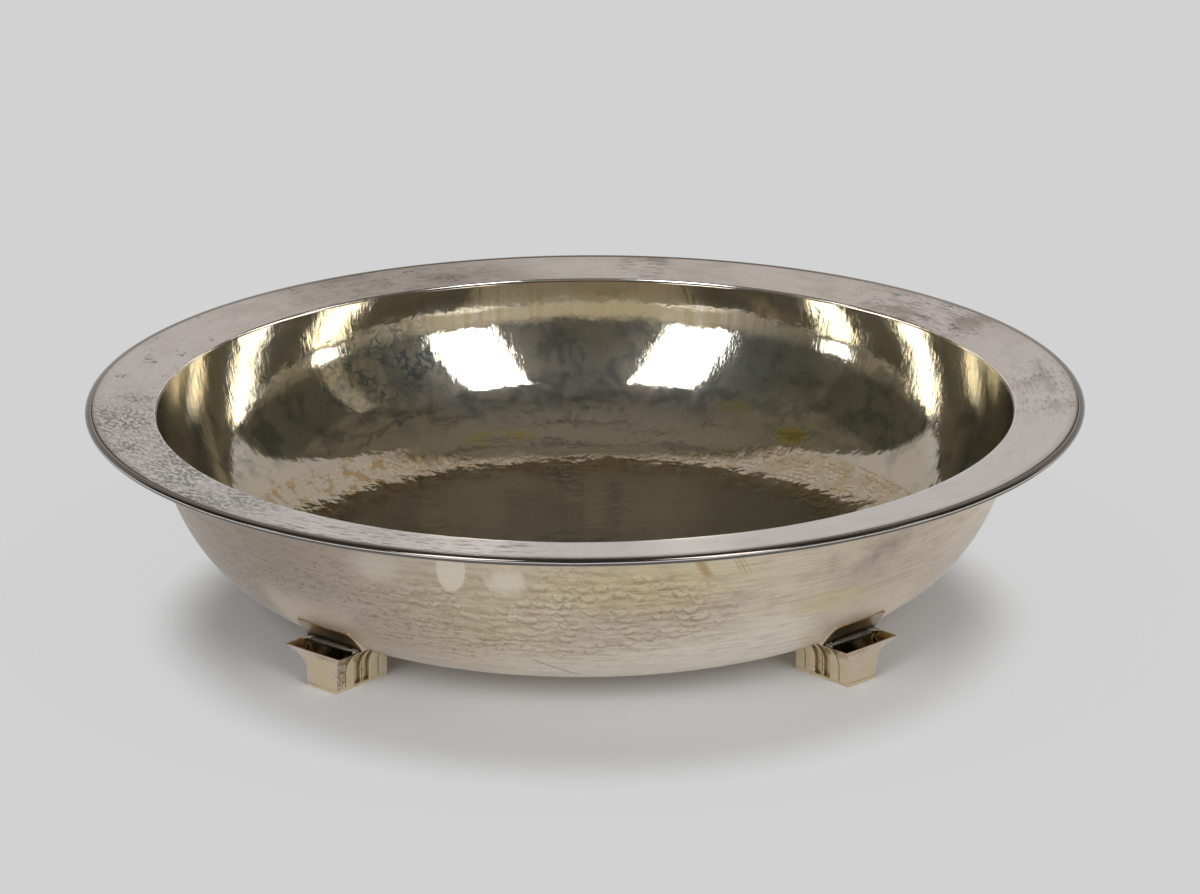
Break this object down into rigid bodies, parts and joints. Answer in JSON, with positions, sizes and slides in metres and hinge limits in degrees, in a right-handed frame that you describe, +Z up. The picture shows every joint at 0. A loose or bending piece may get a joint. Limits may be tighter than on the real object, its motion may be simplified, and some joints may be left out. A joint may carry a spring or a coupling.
{
  "type": "footed bowl",
  "caption": "Wide shallow silver bowl with a broad flat rim, a wire edge and flared bracket feet.",
  "frame": {"origin": "on the surface that the bowl stands on, under the middle of the bowl", "axes": "+Z up along the bowl's axis, -Y towards the front as pictured, +X to the right seen from the front"},
  "size_m": [0.4, 0.4, 0.082],
  "materials": {
    "body_silver": "tarnished silver, glossy inside and satin outside with soft hammer marks and brush lines",
    "rim_silver": "satin silver with fine scratches and dark speckled wear",
    "wire_silver": "polished silver wire with small nicks",
    "foot_silver": "warm polished silver with mottled tarnish",
    "reed_silver": "silver with brown tarnish in its recesses",
    "sole_silver": "dull silver, darker at its seam"
  },
  "bodies": {
    "root": {"body_shell": "body_silver", "rim_plate": "rim_silver", "rim_wire": "wire_silver", "front_right_foot_sole": "sole_silver", "front_right_foot_outer_shell": "foot_silver", "front_right_foot_inner_shell": "foot_silver", "front_right_foot_left_reeds": "reed_silver", "front_right_foot_right_reeds": "reed_silver", "front_right_foot_cross_bar": "reed_silver", "front_right_foot_saddle": "foot_silver", "front_left_foot_sole": "sole_silver", "front_left_foot_outer_shell": "foot_silver", "front_left_foot_inner_shell": "foot_silver", "front_left_foot_left_reeds": "reed_silver", "front_left_foot_right_reeds": "reed_silver", "front_left_foot_cross_bar": "reed_silver", "front_left_foot_saddle": "foot_silver", "back_right_foot_sole": "sole_silver", "back_right_foot_outer_shell": "foot_silver", "back_right_foot_inner_shell": "foot_silver", "back_right_foot_left_reeds": "reed_silver", "back_right_foot_right_reeds": "reed_silver", "back_right_foot_cross_bar": "reed_silver", "back_right_foot_saddle": "foot_silver", "back_left_foot_sole": "sole_silver", "back_left_foot_outer_shell": "foot_silver", "back_left_foot_inner_shell": "foot_silver", "back_left_foot_left_reeds": "reed_silver", "back_left_foot_right_reeds": "reed_silver", "back_left_foot_cross_bar": "reed_silver", "back_left_foot_saddle": "foot_silver"}
  },
  "joints": []
}
